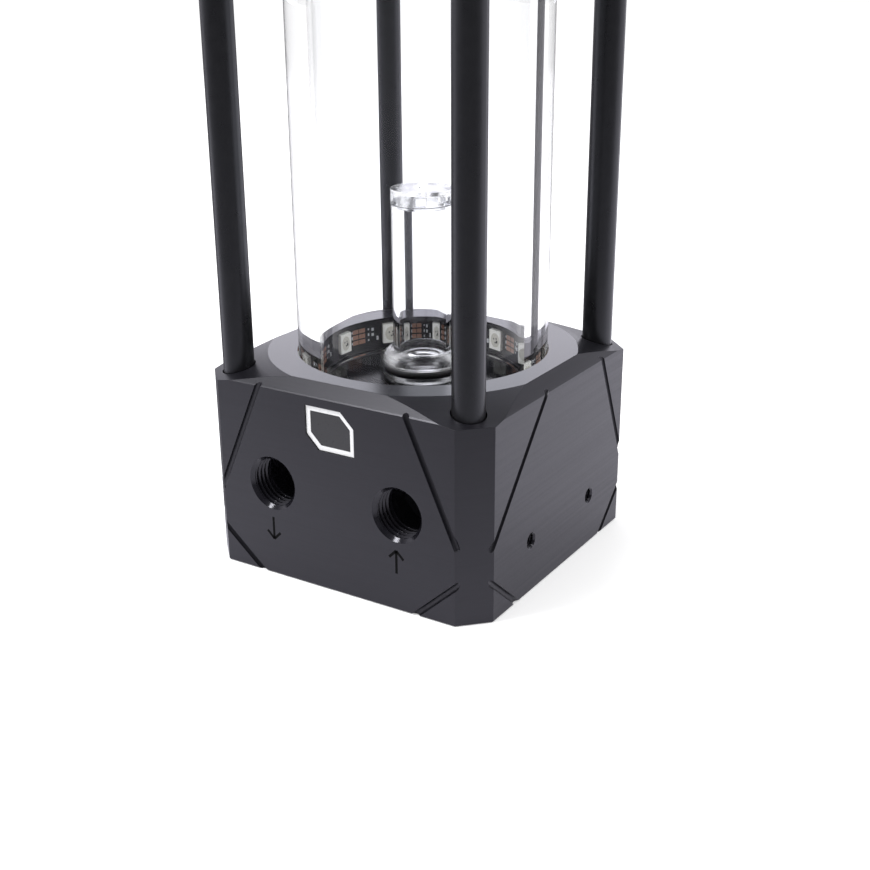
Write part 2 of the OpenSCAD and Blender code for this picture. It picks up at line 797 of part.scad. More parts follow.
module drive_board() {
    color([0.1, 0.3, 0.18])
    translate([0, 0, cover_z + cover_t])
        difference() {
            cylinder(h = board_t, r = can_r - can_wall - 0.1, $fn = 96);
            translate([0, 0, -1]) cylinder(h = 4, r = well_r + well_wall + 0.1, $fn = 96);
        }
}

module pump_seal() {
    color([0.08, 0.08, 0.08])
    translate([0, 0, bay_top - 0.75]) squeezed_ring(24.05, 2, 1.5);
}

module pump_screws() {
    color([0.72, 0.72, 0.74])
    for (a = [0 : 90 : 270])
        rotate([0, 0, a]) translate([ear_at, 0, bay_top - flange_t - 2.4])
            small_screw(pump_screw_r, 2.7, 2.4, 10);
}

module cable_grommet() {
    color([0.07, 0.07, 0.07])
    difference() {
        translate([outlet_x - outlet_w / 2, half_w - 9, plate_t]) cube([outlet_w, 8.5, outlet_h]);
        translate([outlet_x, half_w - 12, plate_t + outlet_h / 2])
            rotate([-90, 0, 0]) cylinder(h = 14, r = 2.1, $fn = 32);
    }
}

base_block();
bottom_plate();
base_rod_screws();
rod(-1, -1);  // rod_front_left
rod(1, -1);  // rod_front_right
rod(-1, 1);  // rod_back_left
rod(1, 1);  // rod_back_right
cap_rod_screws();
glass_tube();
lower_tube_seal();
upper_tube_seal();
top_cap();
fill_plug();
fill_plug_seal();
floor_plate();
floor_screws();
riser_socket();
riser_seal();
riser_tube();
riser_cap();
led_strip();
led_packages();
volute_plate();
volute_screws();
impeller();
rotor_magnet();
bearing_bush();
pump_shaft();
pump_housing();
pump_cover();
stator_core();
stator_coils();
drive_board();
pump_seal();
pump_screws();
cable_grommet();
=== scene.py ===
import json
import math

import bmesh
import bpy
from mathutils import Matrix, Vector


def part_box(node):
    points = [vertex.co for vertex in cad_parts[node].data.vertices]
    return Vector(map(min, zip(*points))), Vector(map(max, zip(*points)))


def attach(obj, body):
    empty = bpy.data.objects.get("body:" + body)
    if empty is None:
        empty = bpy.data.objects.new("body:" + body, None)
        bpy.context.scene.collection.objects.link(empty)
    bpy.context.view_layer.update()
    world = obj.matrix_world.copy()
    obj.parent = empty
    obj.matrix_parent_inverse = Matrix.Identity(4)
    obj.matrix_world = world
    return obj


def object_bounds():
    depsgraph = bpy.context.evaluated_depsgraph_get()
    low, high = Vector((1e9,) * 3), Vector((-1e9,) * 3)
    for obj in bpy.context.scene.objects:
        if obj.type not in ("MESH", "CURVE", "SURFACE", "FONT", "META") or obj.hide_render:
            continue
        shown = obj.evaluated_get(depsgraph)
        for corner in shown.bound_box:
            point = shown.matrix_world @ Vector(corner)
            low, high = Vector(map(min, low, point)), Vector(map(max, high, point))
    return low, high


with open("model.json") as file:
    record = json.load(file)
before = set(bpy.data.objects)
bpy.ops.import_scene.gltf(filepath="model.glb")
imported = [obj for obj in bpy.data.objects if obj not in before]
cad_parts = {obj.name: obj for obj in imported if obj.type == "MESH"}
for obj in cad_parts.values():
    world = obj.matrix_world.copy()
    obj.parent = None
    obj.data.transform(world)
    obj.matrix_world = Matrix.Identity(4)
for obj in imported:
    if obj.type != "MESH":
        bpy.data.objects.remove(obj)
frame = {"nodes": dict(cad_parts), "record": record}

cadLow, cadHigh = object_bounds()
cadNodes = frame["nodes"]
mountAt = {mount["name"]: Vector(mount["pos_m"]) for mount in frame["record"]["mounts"]}
mm = 0.001
print("frame loaded:", len(cadNodes), "solids")


# helpers for shader and geometry trees

def addNode(tree, kind, **settings):
    node = tree.nodes.new(kind)
    for name, value in settings.items():
        setattr(node, name, value)
    return node


def feed(tree, socket, value):
    # value is another node's output, or a plain number, colour or vector
    if isinstance(value, bpy.types.NodeSocket):
        tree.links.new(value, socket)
    else:
        socket.default_value = value


def maths(tree, operation, first, second=None):
    node = addNode(tree, "ShaderNodeMath", operation=operation)
    feed(tree, node.inputs[0], first)
    if second is not None:
        feed(tree, node.inputs[1], second)
    return node.outputs[0]


def weighed(tree, first, *others):
    # the sum of several values, each times its weight
    value, weight = first
    scaled = maths(tree, "MULTIPLY", value, weight)
    return maths(tree, "ADD", scaled, weighed(tree, *others)) if others else scaled


def spread(tree, value, fromLow, fromHigh, toLow, toHigh):
    # moves a value from one range to another, and holds it there
    node = addNode(tree, "ShaderNodeMapRange")
    for socket, number in zip(node.inputs, (value, fromLow, fromHigh, toLow, toHigh)):
        feed(tree, socket, number)
    return node.outputs[0]


def blendColours(tree, share, first, second):
    node = addNode(tree, "ShaderNodeMix", data_type="RGBA")
    feed(tree, node.inputs["Factor"], share)
    feed(tree, node.inputs["A"], (*first, 1))
    feed(tree, node.inputs["B"], (*second, 1))
    return node.outputs["Result"]


def splitUp(tree, vector):
    split = addNode(tree, "ShaderNodeSeparateXYZ")
    feed(tree, split.inputs[0], vector)
    return split.outputs


def joinUp(tree, *lengths):
    joined = addNode(tree, "ShaderNodeCombineXYZ")
    for socket, length in zip(joined.inputs, lengths):
        feed(tree, socket, length)
    return joined.outputs[0]


def roundAxis(tree, radius, angle, height):
    return joinUp(tree, maths(tree, "MULTIPLY", radius, maths(tree, "COSINE", angle)),
                  maths(tree, "MULTIPLY", radius, maths(tree, "SINE", angle)), height)


def coordinates(tree, kind="Object"):
    # Object is the place in the part's own metres
    return addNode(tree, "ShaderNodeTexCoord").outputs[kind]


def reflectedOnly(tree, path):
    # a ray that came through glass is called glossy too, so it is taken off
    return maths(tree, "MULTIPLY", path["Is Glossy Ray"],
                 maths(tree, "SUBTRACT", 1.0, path["Is Transmission Ray"]))


# what the finishes are made of

def newFinish(name, colour, roughness):
    finish = bpy.data.materials.new(name)
    finish.use_nodes = True
    shader = finish.node_tree.nodes["Principled BSDF"]
    shader.inputs["Base Color"].default_value = (*colour, 1)
    shader.inputs["Roughness"].default_value = roughness
    return finish, finish.node_tree, shader


def noiseAt(tree, place, detail):
    noise = addNode(tree, "ShaderNodeTexNoise")
    noise.inputs["Scale"].default_value = 1.0
    noise.inputs["Detail"].default_value = detail
    feed(tree, noise.inputs["Vector"], place)
    return noise.outputs["Fac"]


def grain(tree, stretch, detail=3.0, seedShift=0.0):
    # stretch is how fine the noise is along each axis, per metre; a small number draws it out
    mapping = addNode(tree, "ShaderNodeMapping")
    mapping.inputs["Location"].default_value = (seedShift, seedShift, seedShift)
    mapping.inputs["Scale"].default_value = stretch
    feed(tree, mapping.inputs["Vector"], coordinates(tree))
    return noiseAt(tree, mapping.outputs[0], detail)


def turnedMarks(tree, finesse):
    # fine circles round the tank's axis, as a lathe or a fly cutter leaves them
    place = splitUp(tree, coordinates(tree))
    radius = maths(tree, "SQRT", maths(tree, "ADD", maths(tree, "POWER", place["X"], 2.0),
                                       maths(tree, "POWER", place["Y"], 2.0)))
    return noiseAt(tree, joinUp(tree, maths(tree, "MULTIPLY", radius, finesse)), 2.0)


def fromNoise(tree, noise, low, high):
    # nearly all of a noise lies between 0.3 and 0.7
    return spread(tree, noise, 0.3, 0.7, low, high)


def colourBy(tree, shader, share, colours):
    feed(tree, shader.inputs["Base Color"], blendColours(tree, share, *colours))


def roughenBy(tree, shader, noise, roughness):
    feed(tree, shader.inputs["Roughness"], fromNoise(tree, noise, *roughness))


def raiseSurface(tree, shader, height, depth, strength, edge=None):
    # edge is the radius to which sharp edges look broken
    bump = addNode(tree, "ShaderNodeBump")
    bump.inputs["Strength"].default_value = strength
    bump.inputs["Distance"].default_value = depth
    feed(tree, bump.inputs["Height"], height)
    if edge:
        softened = addNode(tree, "ShaderNodeBevel", samples=6)
        softened.inputs["Radius"].default_value = edge
        feed(tree, bump.inputs["Normal"], softened.outputs[0])
    feed(tree, shader.inputs["Normal"], bump.outputs[0])


# the finishes, each with its look

acetalLook = {
    "colours": ((0.0060, 0.0058, 0.0080), (0.0082, 0.0080, 0.0106)),
    "sheen": (0.96, 0.955, 1.0),
    "roughness": (0.29, 0.38),
    "layers": (60.0, 60.0, 5200.0),          # the cutter's lines up the sides, per metre
    "streaks": (14.0, 14.0, 1150.0),         # its coarser passes
    "circles": 5200.0,                       # turned lines per metre of radius
    "pores": (2600.0, 2600.0, 2600.0),
    "roughWeights": (0.6, 0.4),              # of the streaks and the pores in the roughness
    "markWeights": (0.6, 0.6, 0.3),          # of the layers, circles and pores in the height
    "depth": 0.012 * mm,
    "edge": 0.12 * mm,
    "facedAbove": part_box("base_block")[1].z - 0.03 * mm,     # the ring's top and the top cap
    "facedShine": 0.35,                      # share of the roughness that facing takes off
}
threadLook = dict(acetalLook, roughness=(0.12, 0.17), edge=None)


def machinedAcetal(name, look):
    finish, tree, shader = newFinish(name, look["colours"][0], look["roughness"][0])
    shader.inputs["Specular Tint"].default_value = (*look["sheen"], 1)
    layers = grain(tree, look["layers"])
    streaks = grain(tree, look["streaks"], detail=2.0, seedShift=4.2)
    circles = turnedMarks(tree, look["circles"])
    pores = grain(tree, look["pores"], detail=2.0, seedShift=0.7)
    uneven = weighed(tree, *zip((streaks, pores), look["roughWeights"]))
    rough = spread(tree, uneven, 0.36, 0.64, *look["roughness"])     # the sum varies less than one noise
    place = splitUp(tree, coordinates(tree))
    faced = maths(tree, "GREATER_THAN", place["Z"], look["facedAbove"])
    kept = maths(tree, "SUBTRACT", 1.0, maths(tree, "MULTIPLY", faced, look["facedShine"]))
    feed(tree, shader.inputs["Roughness"], maths(tree, "MULTIPLY", rough, kept))
    colourBy(tree, shader, fromNoise(tree, layers, 0.0, 1.0), look["colours"])
    marks = weighed(tree, *zip((layers, circles, pores), look["markWeights"]))
    raiseSurface(tree, shader, marks, look["depth"], 0.5, look["edge"])
    return finish


rodLook = {
    "colours": ((0.004, 0.004, 0.005), (0.0065, 0.0065, 0.0075)),
    "sheen": (0.94, 0.96, 1.0),
    "roughness": (0.27, 0.35),
    "drawn": (1900.0, 1900.0, 26.0),         # fine lines along the rod
    "mist": (420.0, 420.0, 420.0),
    "depth": 0.006 * mm,
}


def satinRod(look):
    finish, tree, shader = newFinish("satinRod", look["colours"][0], look["roughness"][0])
    shader.inputs["Specular Tint"].default_value = (*look["sheen"], 1)
    mist = grain(tree, look["mist"], seedShift=3.1)
    colourBy(tree, shader, mist, look["colours"])
    roughenBy(tree, shader, mist, look["roughness"])
    raiseSurface(tree, shader, grain(tree, look["drawn"]), look["depth"], 0.5)
    return finish


plateLook = {
    "colours": ((0.036, 0.036, 0.037), (0.055, 0.055, 0.056)),
    "roughness": (0.38, 0.52),
    "brushed": (60.0, 2400.0, 2400.0),       # fine lines along X
    "depth": 0.01 * mm,
    "edge": 0.15 * mm,
}


def satinPlate(look):
    finish, tree, shader = newFinish("satinPlate", look["colours"][0], look["roughness"][0])
    brushed = grain(tree, look["brushed"])
    colourBy(tree, shader, brushed, look["colours"])
    roughenBy(tree, shader, brushed, look["roughness"])
    raiseSurface(tree, shader, brushed, look["depth"], 0.5, look["edge"])
    return finish


glassLook = {
    "tint": (0.972, 0.974, 0.982),
    "ior": 1.474,
    "mirror": (0.15, 0.15, 0.16),            # low, so that no veil lies over what is inside
    "strokes": (900.0, 900.0, 6.0),          # faint lines up the tube
    "depth": 0.0012 * mm,
}
acrylicLook = {
    "tint": (0.915, 0.918, 0.932),
    "ior": 1.49,
    "mirror": (0.35, 0.35, 0.37),
    "strokes": (500.0, 500.0, 120.0),
    "depth": 0.002 * mm,
    "satin": {                               # turned and left unpolished
        "below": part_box("riser_seal")[1].z + 3.3 * mm,       # the socket and the collar
        "belowRoughness": 0.22,
        "above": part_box("riser_cap")[0].z + 0.6 * mm,        # the cap
        "aboveRoughness": 0.2,
        "fade": 0.4 * mm,
        "rings": (40.0, 40.0, 4000.0),
    },
}


def clearFinish(name, look):
    finish, tree, shader = newFinish(name, look["tint"], 0.0)
    shader.inputs["Transmission Weight"].default_value = 1.0
    shader.inputs["IOR"].default_value = look["ior"]
    shader.inputs["Specular Tint"].default_value = (*look["mirror"], 1)
    lines = grain(tree, look["strokes"], detail=1.0)
    paler = tuple(min(1.0, channel + 0.012) for channel in look["tint"])
    colourBy(tree, shader, lines, (look["tint"], paler))
    if "satin" in look:
        satin = look["satin"]
        height = splitUp(tree, coordinates(tree))["Z"]
        lower, upper, fade = satin["below"], satin["above"], satin["fade"]
        low = spread(tree, height, lower, lower + fade, satin["belowRoughness"], 0.0)
        high = spread(tree, height, upper - fade, upper, 0.0, satin["aboveRoughness"])
        rings = grain(tree, satin["rings"], seedShift=2.0)
        feed(tree, shader.inputs["Roughness"], maths(
            tree, "MULTIPLY", maths(tree, "MAXIMUM", low, high), fromNoise(tree, rings, 0.7, 1.3)))
    raiseSurface(tree, shader, lines, look["depth"], 1.0)
    passing = addNode(tree, "ShaderNodeBsdfTransparent")
    passing.inputs["Color"].default_value = (0.985, 0.99, 0.99, 1)
    # lamps, soft light and the sheen of other things pass straight through; after an even
    # number of crossings the ray isn't inside a wall
    path = addNode(tree, "ShaderNodeLightPath").outputs
    outside = maths(tree, "LESS_THAN", maths(tree, "MODULO", path["Transmission Depth"], 2.0), 0.5)
    sheen = maths(tree, "MULTIPLY", reflectedOnly(tree, path), outside)
    soft = maths(tree, "MAXIMUM", path["Is Shadow Ray"], path["Is Diffuse Ray"])
    mixed = addNode(tree, "ShaderNodeMixShader")
    feed(tree, mixed.inputs[0], maths(tree, "MAXIMUM", soft, sheen))
    feed(tree, mixed.inputs[1], shader.outputs[0])
    feed(tree, mixed.inputs[2], passing.outputs[0])
    feed(tree, tree.nodes["Material Output"].inputs["Surface"], mixed.outputs[0])
    return finish


tankFloorLook = {
    "colours": ((0.004, 0.004, 0.005), (0.008, 0.008, 0.009)),
    "specular": 0.06,
    "roughness": (0.08, 0.18),
    "circles": 1900.0,
    "smears": (90.0, 420.0, 200.0),
    "depth": 0.004 * mm,
}


def polishedFloor(look):
    finish, tree, shader = newFinish("polishedFloor", look["colours"][0], look["roughness"][0])
    shader.inputs["Specular IOR Level"].default_value = look["specular"]
    circles = turnedMarks(tree, look["circles"])
    colourBy(tree, shader, circles, look["colours"])
    roughenBy(tree, shader, grain(tree, look["smears"], seedShift=1.3), look["roughness"])
    raiseSurface(tree, shader, circles, look["depth"], 0.25)
    return finish


rubberLook = {
    "colours": ((0.007, 0.007, 0.007), (0.016, 0.016, 0.016)),
    "roughness": (0.45, 0.65),
    "bloom": (1500.0, 1500.0, 1500.0),
    "depth": 0.01 * mm,
}


def sealRubber(look):
    finish, tree, shader = newFinish("sealRubber", look["colours"][0], look["roughness"][0])
    bloom = grain(tree, look["bloom"])
    colourBy(tree, shader, bloom, look["colours"])
    roughenBy(tree, shader, bloom, look["roughness"])
    raiseSurface(tree, shader, bloom, look["depth"], 0.4)
    return finish


def speckled(name, dark, pale, roughness, size=1800.0, depth=0.01, metallic=0.0, stretch=(1, 1, 1)):
    # the plainer finishes: a fine grain in colour, gloss and height; depth is in millimetres
    finish, tree, shader = newFinish(name, dark, roughness)
    shader.inputs["Metallic"].default_value = metallic
    fleck = grain(tree, tuple(size * share for share in stretch))
    colourBy(tree, shader, fleck, (dark, pale))
    roughenBy(tree, shader, fleck, (roughness * 0.85, min(1.0, roughness * 1.2)))
    raiseSurface(tree, shader, fleck, depth * mm, 0.4)
    return finish


def paint(finish, *names):
    for name in names:
        slots = cadNodes[name].material_slots
        for slot in slots:
            slot.material = finish
        if not slots:
            cadNodes[name].data.materials.append(finish)


acetal = machinedAcetal("machinedAcetal", acetalLook)
threadAcetal = machinedAcetal("threadAcetal", threadLook)
rodBlack = satinRod(rodLook)
plateGrey = satinPlate(plateLook)
glass = clearFinish("tankGlass", glassLook)
acrylic = clearFinish("clearAcrylic", acrylicLook)
floorBlack = polishedFloor(tankFloorLook)
rubber = sealRubber(rubberLook)
blackSteel = speckled("blackSteel", (0.02, 0.02, 0.02), (0.05, 0.05, 0.052), 0.34, metallic=0.7)
plainSteel = speckled("plainSteel", (0.52, 0.52, 0.53), (0.66, 0.66, 0.67), 0.24, metallic=1.0)
stripBlack = speckled("stripBlack", (0.014, 0.014, 0.016), (0.026, 0.026, 0.029), 0.42)
lampWhite = speckled("lampWhite", (0.86, 0.85, 0.81), (0.93, 0.92, 0.88), 0.34)
whiteAcetal = speckled("whiteAcetal", (0.66, 0.66, 0.63), (0.76, 0.76, 0.74), 0.42)
mouldedBlack = speckled("mouldedBlack", (0.022, 0.022, 0.023), (0.045, 0.045, 0.047), 0.5, size=2600.0)
ferrite = speckled("ferrite", (0.10, 0.10, 0.11), (0.17, 0.17, 0.18), 0.6, size=2200.0)
carbonBush = speckled("carbonBush", (0.05, 0.05, 0.052), (0.09, 0.09, 0.092), 0.48)
ceramicWhite = speckled("ceramicWhite", (0.78, 0.78, 0.75), (0.86, 0.86, 0.84), 0.12, depth=0.002)
coreSteel = speckled("coreSteel", (0.25, 0.25, 0.27), (0.46, 0.46, 0.48), 0.38,
                     metallic=1.0, stretch=(0.05, 0.05, 1.6))
copperWire = speckled("copperWire", (0.50, 0.20, 0.07), (0.78, 0.40, 0.18), 0.28,
                      metallic=1.0, stretch=(0.3, 0.3, 1.4))
boardGreen = speckled("boardGreen", (0.012, 0.10, 0.040), (0.025, 0.17, 0.075), 0.34)

paint(acetal, "base_block", "top_cap")
paint(rodBlack, "rod_front_left", "rod_front_right", "rod_back_left", "rod_back_right", "fill_plug")
paint(plateGrey, "bottom_plate")
paint(glass, "glass_tube")
paint(acrylic, "riser_socket", "riser_tube", "riser_cap")
paint(floorBlack, "floor_plate")
paint(rubber, "lower_tube_seal", "upper_tube_seal", "fill_plug_seal", "riser_seal", "pump_seal",
      "cable_grommet")
paint(blackSteel, "base_rod_screws", "cap_rod_screws")
paint(plainSteel, "floor_screws", "volute_screws", "pump_screws")
paint(stripBlack, "led_strip")
paint(lampWhite, "led_packages")
paint(whiteAcetal, "volute_plate")
paint(mouldedBlack, "impeller", "pump_housing", "pump_cover")
paint(ferrite, "rotor_magnet")
paint(carbonBush, "bearing_bush")
paint(ceramicWhite, "pump_shaft")
paint(coreSteel, "stator_core")
paint(copperWire, "stator_coils")
paint(boardGreen, "drive_board")
print("finishes painted")


# pieces made by geometry trees

def newTree(name, inputs):
    tree = bpy.data.node_groups.new(name, "GeometryNodeTree")
    for label, kind in inputs + [("Material", "NodeSocketMaterial")]:
        tree.interface.new_socket(name=label, in_out="INPUT", socket_type=kind)
    tree.interface.new_socket(name="Geometry", in_out="OUTPUT", socket_type="NodeSocketGeometry")
    return tree, addNode(tree, "NodeGroupInput").outputs


def closeTree(tree, given, geometry):
    realized = addNode(tree, "GeometryNodeRealizeInstances")
    feed(tree, realized.inputs["Geometry"], geometry)
    dressed = addNode(tree, "GeometryNodeSetMaterial")
    feed(tree, dressed.inputs["Geometry"], realized.outputs[0])
    feed(tree, dressed.inputs["Material"], given["Material"])
    feed(tree, addNode(tree, "NodeGroupOutput").inputs["Geometry"], dressed.outputs[0])


def growPiece(name, tree, settings, smoothBelow=None):
    # runs a tree once and keeps its result as a plain mesh
    carrier = bpy.data.objects.new(name + ".carrier", bpy.data.meshes.new(name + ".carrier"))
    bpy.context.scene.collection.objects.link(carrier)
    modifier = carrier.modifiers.new("grow", "NODES")
    modifier.node_group = tree
    for item in tree.interface.items_tree:
        if item.in_out == "INPUT":
            modifier[item.identifier] = settings[item.name]
    evaluated = carrier.evaluated_get(bpy.context.evaluated_depsgraph_get())
    mesh = bpy.data.meshes.new_from_object(evaluated)
    bpy.data.objects.remove(carrier)
    mesh.name = name
    return finishPiece(name, mesh, smoothBelow)


def finishPiece(name, mesh, smoothBelow=None):
    # smoothBelow is the angle in degrees past which an edge stays sharp
    piece = bpy.data.objects.new(name, mesh)
    bpy.context.scene.collection.objects.link(piece)
    if smoothBelow is not None:
        mesh.polygons.foreach_set("use_smooth", [True] * len(mesh.polygons))
        mesh.set_sharp_from_angle(angle=math.radians(smoothBelow))
    mesh.update()
    return piece


# threads of the ports and the bracket holes

threadForm = {
    "flank": (0.12, 0.88),      # shares of half a turn between which crest and root are joined
    "entry": (0.56, 0.82),      # depths, in turns, between which the first turn deepens
    "end": 0.9999,              # share of the length past which the wall meets its back
    "weld": 0.002 * mm,
}
portThread = {"Outer Radius": 6.565 * mm, "Inner Radius": 5.72 * mm, "Pitch": 1.337 * mm,
              "Length": 11.9 * mm, "Tapped": 5.2 * mm, "Steps Round": 97, "Steps Along": 215}
sideThread = {"Outer Radius": 1.99 * mm, "Inner Radius": 1.62 * mm, "Pitch": 0.7 * mm,
              "Length": 7.9 * mm, "Tapped": 6.4 * mm, "Steps Round": 49, "Steps Along": 180}
# name, mount, sizes, how +Z is turned to point into the part
wells = [
    ("portThreadOut", "port_out", portThread, (-90, 0, 0)),
    ("portThreadIn", "port_in", portThread, (-90, 0, 0)),
    ("bracketThreadFront", "bracket_hole_front", sideThread, (0, -90, 0)),
    ("bracketThreadBack", "bracket_hole_back", sideThread, (0, -90, 0)),
]


def threadTree():
    # a tapped bore's wall along +Z: a lead-in cone, V turns of one helix that run out, and a
    # plain bore, closed by a cylinder at its back
    tree, given = newTree("threadTree", [
        ("Outer Radius", "NodeSocketFloat"), ("Inner Radius", "NodeSocketFloat"),
        ("Pitch", "NodeSocketFloat"), ("Length", "NodeSocketFloat"), ("Tapped", "NodeSocketFloat"),
        ("Steps Round", "NodeSocketInt"), ("Steps Along", "NodeSocketInt"),
        ("Seat", "NodeSocketVector"), ("Turn", "NodeSocketRotation")])
    outer, inner = given["Outer Radius"], given["Inner Radius"]
    pitch, length = given["Pitch"], given["Length"]

    def wall(stepsAlong, radiusOf):
        # a flat grid, one unit square, rolled into a tube
        grid = addNode(tree, "GeometryNodeMeshGrid")
        feed(tree, grid.inputs["Size X"], 1.0)
        feed(tree, grid.inputs["Size Y"], 1.0)
        feed(tree, grid.inputs["Vertices X"], given["Steps Round"])
        feed(tree, grid.inputs["Vertices Y"], stepsAlong)
        place = splitUp(tree, addNode(tree, "GeometryNodeInputPosition").outputs[0])
        turn = maths(tree, "ADD", place["X"], 0.5)
        depth = maths(tree, "MULTIPLY", maths(tree, "ADD", place["Y"], 0.5), length)
        rolled = addNode(tree, "GeometryNodeSetPosition")
        feed(tree, rolled.inputs["Geometry"], grid.outputs["Mesh"])
        feed(tree, rolled.inputs["Position"], roundAxis(
            tree, radiusOf(turn, depth), maths(tree, "MULTIPLY", turn, 2 * math.pi), depth))
        return rolled.outputs[0]

    def threaded(turn, depth):
        turnsDeep = maths(tree, "DIVIDE", depth, pitch)
        fromHelix = maths(tree, "SUBTRACT", turnsDeep, turn)
        phase = maths(tree, "FRACT", maths(tree, "ADD", fromHelix, 100.0))    # kept above zero
        fromCrest = maths(tree, "ABSOLUTE", maths(tree, "SUBTRACT", phase, 0.5))
        vee = spread(tree, maths(tree, "MULTIPLY", fromCrest, 2.0), *threadForm["flank"], inner, outer)
        pastTapped = maths(tree, "DIVIDE", maths(tree, "SUBTRACT", depth, given["Tapped"]), pitch)
        runOut = spread(tree, pastTapped, 0.0, 1.0, outer, inner)
        entry = spread(tree, turnsDeep, *threadForm["entry"], inner, outer)
        groove = maths(tree, "MINIMUM", maths(tree, "MINIMUM", vee, runOut), entry)
        cone = maths(tree, "SUBTRACT", outer, depth)
        bore = maths(tree, "MAXIMUM", groove, cone)
        last = maths(tree, "GREATER_THAN", depth, maths(tree, "MULTIPLY", length, threadForm["end"]))
        closed = maths(tree, "MAXIMUM", bore, maths(tree, "MULTIPLY", last, outer))
        return maths(tree, "MINIMUM", closed, outer)

    back = addNode(tree, "GeometryNodeFlipFaces")
    feed(tree, back.inputs["Mesh"], wall(2, lambda turn, depth: outer))
    both = addNode(tree, "GeometryNodeJoinGeometry")
    feed(tree, both.inputs[0], wall(given["Steps Along"], threaded))
    feed(tree, both.inputs[0], back.outputs[0])
    welded = addNode(tree, "GeometryNodeMergeByDistance")
    feed(tree, welded.inputs["Geometry"], both.outputs[0])
    feed(tree, welded.inputs["Distance"], threadForm["weld"])
    seated = addNode(tree, "GeometryNodeTransform")
    feed(tree, seated.inputs["Geometry"], welded.outputs[0])
    feed(tree, seated.inputs["Translation"], given["Seat"])
    feed(tree, seated.inputs["Rotation"], given["Turn"])
    closeTree(tree, given, seated.outputs[0])
    return tree


def cutThreads():
    tree = threadTree()
    for name, mount, sizes, turn in wells:
        place = {"Seat": mountAt[mount], "Turn": [math.radians(angle) for angle in turn]}
        piece = growPiece(name, tree, sizes | place | {"Material": threadAcetal}, smoothBelow=28)
        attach(piece, "reservoir")
    print("threads cut:", len(wells))


cutThreads()


# light strip: what is soldered and printed between and on the lamps

solderCopper = speckled("solderCopper", (0.42, 0.22, 0.16), (0.60, 0.35, 0.26), 0.32, metallic=0.4)
partWhite = speckled("partWhite", (0.60, 0.61, 0.64), (0.72, 0.73, 0.76), 0.4)
partDark = speckled("partDark", (0.02, 0.02, 0.02), (0.05, 0.05, 0.05), 0.3)
windowPale = speckled("windowPale", (0.60, 0.58, 0.52), (0.72, 0.70, 0.64), 0.2)

lightStrip = {
    "count": 11,
    "first": 173.0,             # degrees round the tank, and the step back to the next lamp
    "step": 32.0,
    "thickness": 0.35 * mm,
    "lampThickness": 1.8 * mm,
    "windowRadius": 1.85 * mm,
    "windowThickness": 0.06 * mm,
    "dieThickness": 0.05 * mm,
    "dieLift": 0.03 * mm,
    # name, degrees past a lamp, height from the lamps' middle, width, height and thickness in
    # millimetres, finish, slot
    "parts": [
        ("solderPads.top", (10.2, 14.9), 1.45, 2.35, 1.12, 0.06, solderCopper, "copper_wire"),
        ("solderPads.middle", (10.2, 14.9), 0.0, 2.35, 1.12, 0.06, solderCopper, "copper_wire"),
        ("solderPads.bottom", (10.2, 14.9), -1.45, 2.35, 1.12, 0.06, solderCopper, "copper_wire"),
        ("chipCaps", (21.7,), 1.3, 0.75, 0.7, 0.35, partWhite, "led_white"),
        ("chipCaps.low", (21.7,), -0.1, 0.75, 0.7, 0.35, partWhite, "led_white"),
        ("chipResistors", (24.7,), -1.2, 0.6, 1.0, 0.4, partWhite, "led_white"),
        ("printTicks", (7.6, 19.3), 1.45, 0.5, 0.5, 0.03, partWhite, "led_white"),
        ("printTicks.middle", (7.6, 19.3), 0.0, 0.5, 0.8, 0.03, partWhite, "led_white"),
        ("printTicks.bottom", (7.6, 19.3), -1.45, 0.5, 0.5, 0.03, partWhite, "led_white"),
    ],
    # name, sideways and up from the window's middle, and edge, in millimetres
    "dies": [
        ("lampDies.red", -0.55, 0.35, 0.42),
        ("lampDies.green", 0.5, 0.45, 0.42),
        ("lampDies.blue", 0.1, -0.6, 0.42),
        ("lampDrivers", 0.75, -0.35, 0.7),
    ],
}
ringInputs = [("Count", "NodeSocketInt"), ("First Angle", "NodeSocketFloat"),
              ("Step Angle", "NodeSocketFloat"), ("Radius", "NodeSocketFloat"),
              ("Height", "NodeSocketFloat")]


def plantRing(tree, given, shape):
    # copies of a shape round the tank, each with its X axis pointing away from the tank's axis
    index = addNode(tree, "GeometryNodeInputIndex").outputs[0]
    angle = maths(tree, "SUBTRACT", given["First Angle"],
                  maths(tree, "MULTIPLY", index, given["Step Angle"]))
    places = addNode(tree, "GeometryNodePoints")
    feed(tree, places.inputs["Count"], given["Count"])
    feed(tree, places.inputs["Position"], roundAxis(tree, given["Radius"], angle, given["Height"]))
    planted = addNode(tree, "GeometryNodeInstanceOnPoints")
    feed(tree, planted.inputs["Points"], places.outputs[0])
    feed(tree, planted.inputs["Instance"], shape)
    feed(tree, planted.inputs["Rotation"], joinUp(tree, 0.0, 0.0, angle))
    closeTree(tree, given, planted.outputs[0])


def boxTree():
    tree, given = newTree("boxTree", ringInputs + [("Size", "NodeSocketVector")])
    block = addNode(tree, "GeometryNodeMeshCube")
    feed(tree, block.inputs["Size"], given["Size"])
    plantRing(tree, given, block.outputs["Mesh"])
    return tree


